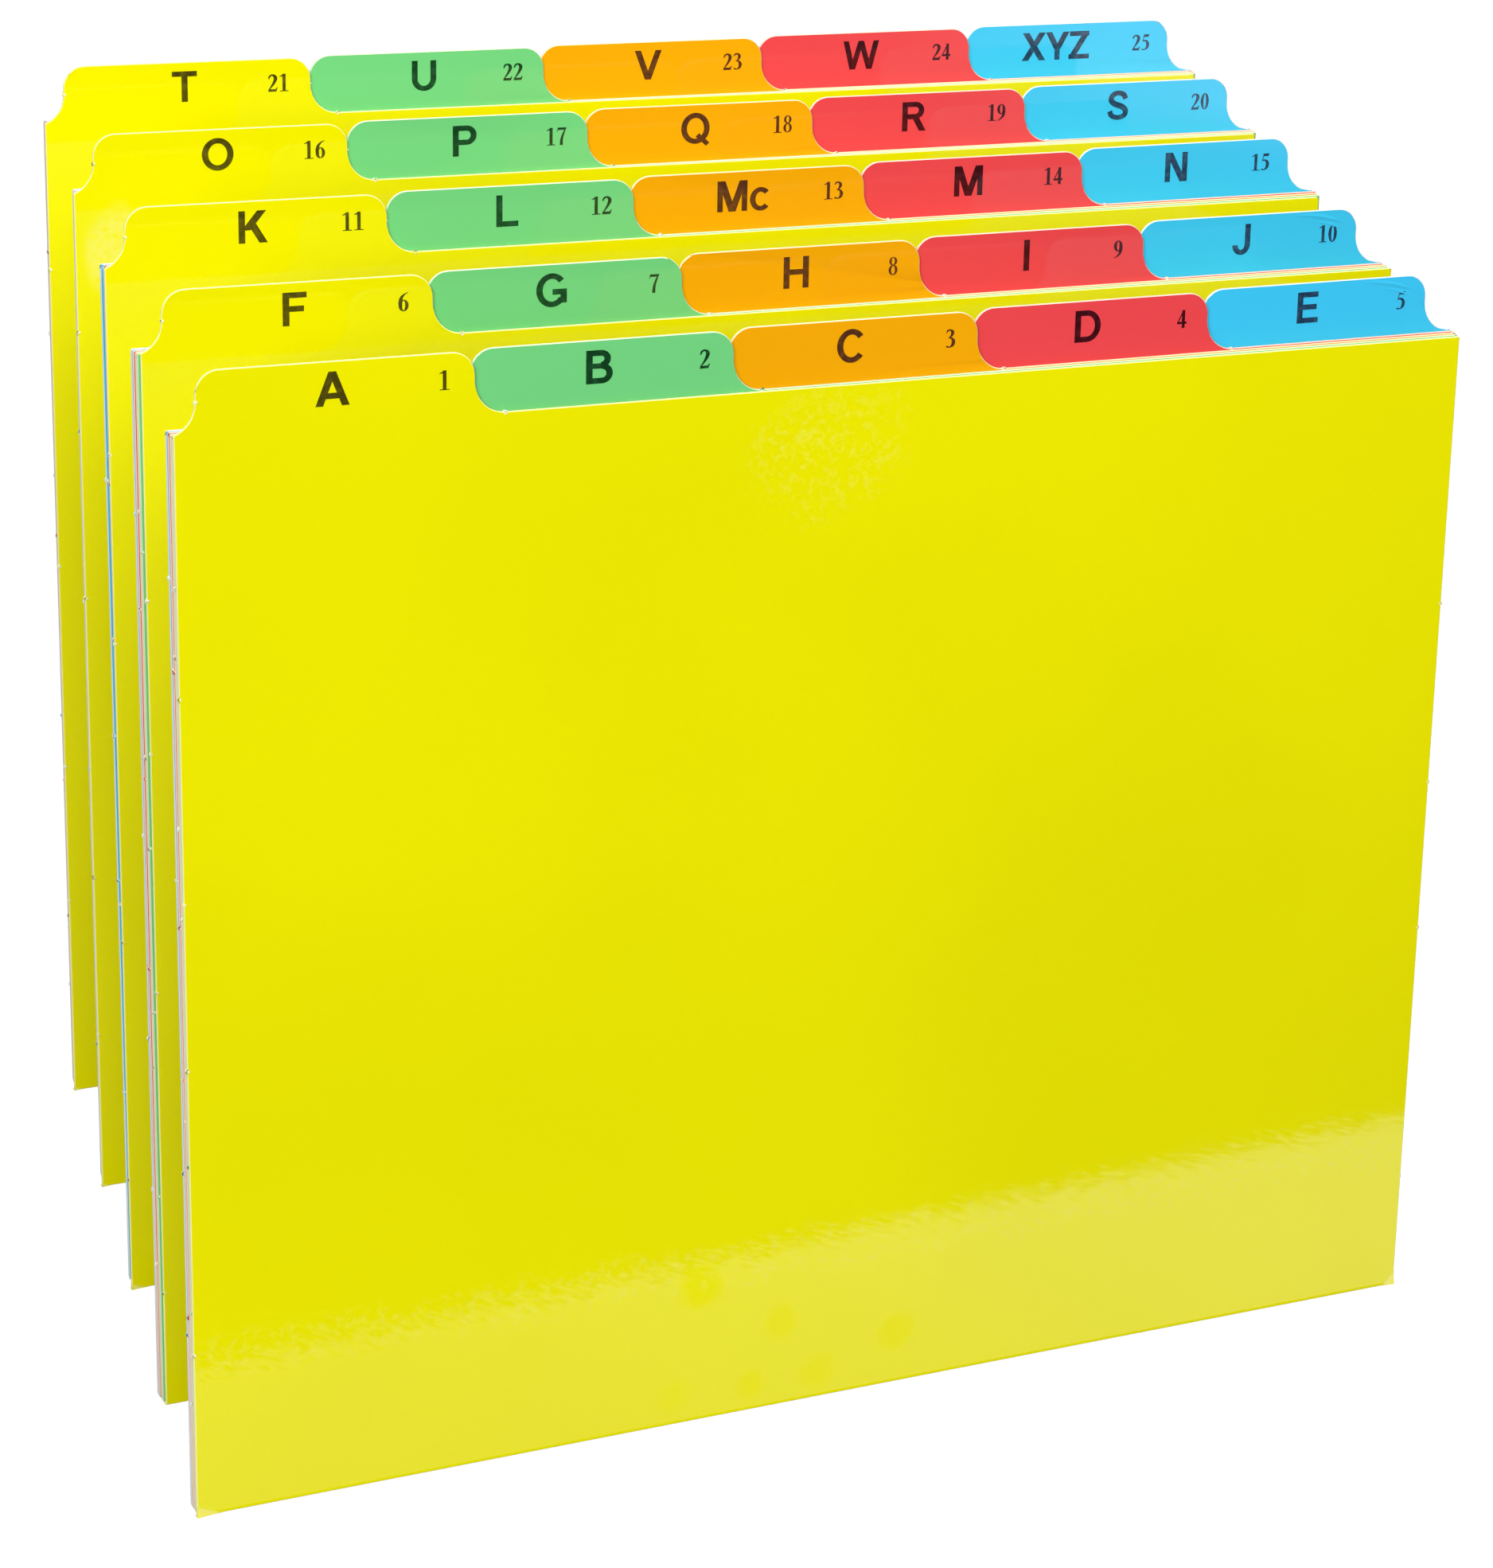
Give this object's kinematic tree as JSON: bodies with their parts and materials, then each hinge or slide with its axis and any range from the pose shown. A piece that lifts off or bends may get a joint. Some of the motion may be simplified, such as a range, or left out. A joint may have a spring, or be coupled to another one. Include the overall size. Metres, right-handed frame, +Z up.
{
  "type": "tabbed alphabetical guide card set",
  "caption": "Set of coloured A-Z index guide cards with stepped tabs, standing in tiers that lean back, each card loose.",
  "frame": {"origin": "on the floor where the back of the very last card meets it, midway along the rear tier", "axes": "+X along the cards from the first tab to the last, +Y from the front tier to the rear tier, +Z up; the cards face -Y"},
  "size_m": [0.3202, 0.2182, 0.2337],
  "materials": {
    "yellow_card": "gloss",
    "green_card": "gloss",
    "orange_card": "gloss",
    "red_card": "gloss",
    "blue_card": "gloss"
  },
  "bodies": {
    "card_a": {"guide_a": "yellow_card"},
    "card_b": {"guide_b": "green_card"},
    "card_c": {"guide_c": "orange_card"},
    "card_d": {"guide_d": "red_card"},
    "card_e": {"guide_e": "blue_card"},
    "card_f": {"guide_f": "yellow_card"},
    "card_g": {"guide_g": "green_card"},
    "card_h": {"guide_h": "orange_card"},
    "card_i": {"guide_i": "red_card"},
    "card_j": {"guide_j": "blue_card"},
    "card_k": {"guide_k": "yellow_card"},
    "card_l": {"guide_l": "green_card"},
    "card_mc": {"guide_mc": "orange_card"},
    "card_m": {"guide_m": "red_card"},
    "card_n": {"guide_n": "blue_card"},
    "card_o": {"guide_o": "yellow_card"},
    "card_p": {"guide_p": "green_card"},
    "card_q": {"guide_q": "orange_card"},
    "card_r": {"guide_r": "red_card"},
    "card_s": {"guide_s": "blue_card"},
    "card_t": {"guide_t": "yellow_card"},
    "card_u": {"guide_u": "green_card"},
    "card_v": {"guide_v": "orange_card"},
    "card_w": {"guide_w": "red_card"},
    "card_xyz": {"guide_xyz": "blue_card"}
  },
  "joints": [
    {"name": "a_tip", "type": "hinge", "parent": "card_xyz", "child": "card_a", "pos_m": [-0.02, -0.15511, 0], "axis": [1, 0, 0], "range_deg": [0, 60]},
    {"name": "b_lift", "type": "slide", "parent": "card_a", "child": "card_b", "axis": [0, 0.2588, 0.9659], "range_m": [0, 0.26]},
    {"name": "c_lift", "type": "slide", "parent": "card_a", "child": "card_c", "axis": [0, 0.2588, 0.9659], "range_m": [0, 0.26]},
    {"name": "d_lift", "type": "slide", "parent": "card_a", "child": "card_d", "axis": [0, 0.2588, 0.9659], "range_m": [0, 0.26]},
    {"name": "e_lift", "type": "slide", "parent": "card_a", "child": "card_e", "axis": [0, 0.2588, 0.9659], "range_m": [0, 0.26]},
    {"name": "f_tip", "type": "hinge", "parent": "card_xyz", "child": "card_f", "pos_m": [-0.015, -0.11911, 0], "axis": [1, 0, 0], "range_deg": [0, 7]},
    {"name": "g_lift", "type": "slide", "parent": "card_f", "child": "card_g", "axis": [0, 0.2588, 0.9659], "range_m": [0, 0.26]},
    {"name": "h_lift", "type": "slide", "parent": "card_f", "child": "card_h", "axis": [0, 0.2588, 0.9659], "range_m": [0, 0.26]},
    {"name": "i_lift", "type": "slide", "parent": "card_f", "child": "card_i", "axis": [0, 0.2588, 0.9659], "range_m": [0, 0.26]},
    {"name": "j_lift", "type": "slide", "parent": "card_f", "child": "card_j", "axis": [0, 0.2588, 0.9659], "range_m": [0, 0.26]},
    {"name": "k_tip", "type": "hinge", "parent": "card_xyz", "child": "card_k", "pos_m": [-0.01, -0.07911, 0], "axis": [1, 0, 0], "range_deg": [0, 7.5]},
    {"name": "l_lift", "type": "slide", "parent": "card_k", "child": "card_l", "axis": [0, 0.2588, 0.9659], "range_m": [0, 0.26]},
    {"name": "mc_lift", "type": "slide", "parent": "card_k", "child": "card_mc", "axis": [0, 0.2588, 0.9659], "range_m": [0, 0.26]},
    {"name": "m_lift", "type": "slide", "parent": "card_k", "child": "card_m", "axis": [0, 0.2588, 0.9659], "range_m": [0, 0.26]},
    {"name": "n_lift", "type": "slide", "parent": "card_k", "child": "card_n", "axis": [0, 0.2588, 0.9659], "range_m": [0, 0.26]},
    {"name": "o_tip", "type": "hinge", "parent": "card_xyz", "child": "card_o", "pos_m": [-0.005, -0.04111, 0], "axis": [1, 0, 0], "range_deg": [0, 7.5]},
    {"name": "p_lift", "type": "slide", "parent": "card_o", "child": "card_p", "axis": [0, 0.2588, 0.9659], "range_m": [0, 0.26]},
    {"name": "q_lift", "type": "slide", "parent": "card_o", "child": "card_q", "axis": [0, 0.2588, 0.9659], "range_m": [0, 0.26]},
    {"name": "r_lift", "type": "slide", "parent": "card_o", "child": "card_r", "axis": [0, 0.2588, 0.9659], "range_m": [0, 0.26]},
    {"name": "s_lift", "type": "slide", "parent": "card_o", "child": "card_s", "axis": [0, 0.2588, 0.9659], "range_m": [0, 0.26]},
    {"name": "t_tip", "type": "hinge", "parent": "card_xyz", "child": "card_t", "pos_m": [0, -0.00311, 0], "axis": [1, 0, 0], "range_deg": [0, 7.5]},
    {"name": "u_lift", "type": "slide", "parent": "card_t", "child": "card_u", "axis": [0, 0.2588, 0.9659], "range_m": [0, 0.26]},
    {"name": "v_lift", "type": "slide", "parent": "card_t", "child": "card_v", "axis": [0, 0.2588, 0.9659], "range_m": [0, 0.26]},
    {"name": "w_lift", "type": "slide", "parent": "card_t", "child": "card_w", "axis": [0, 0.2588, 0.9659], "range_m": [0, 0.26]}
  ]
}
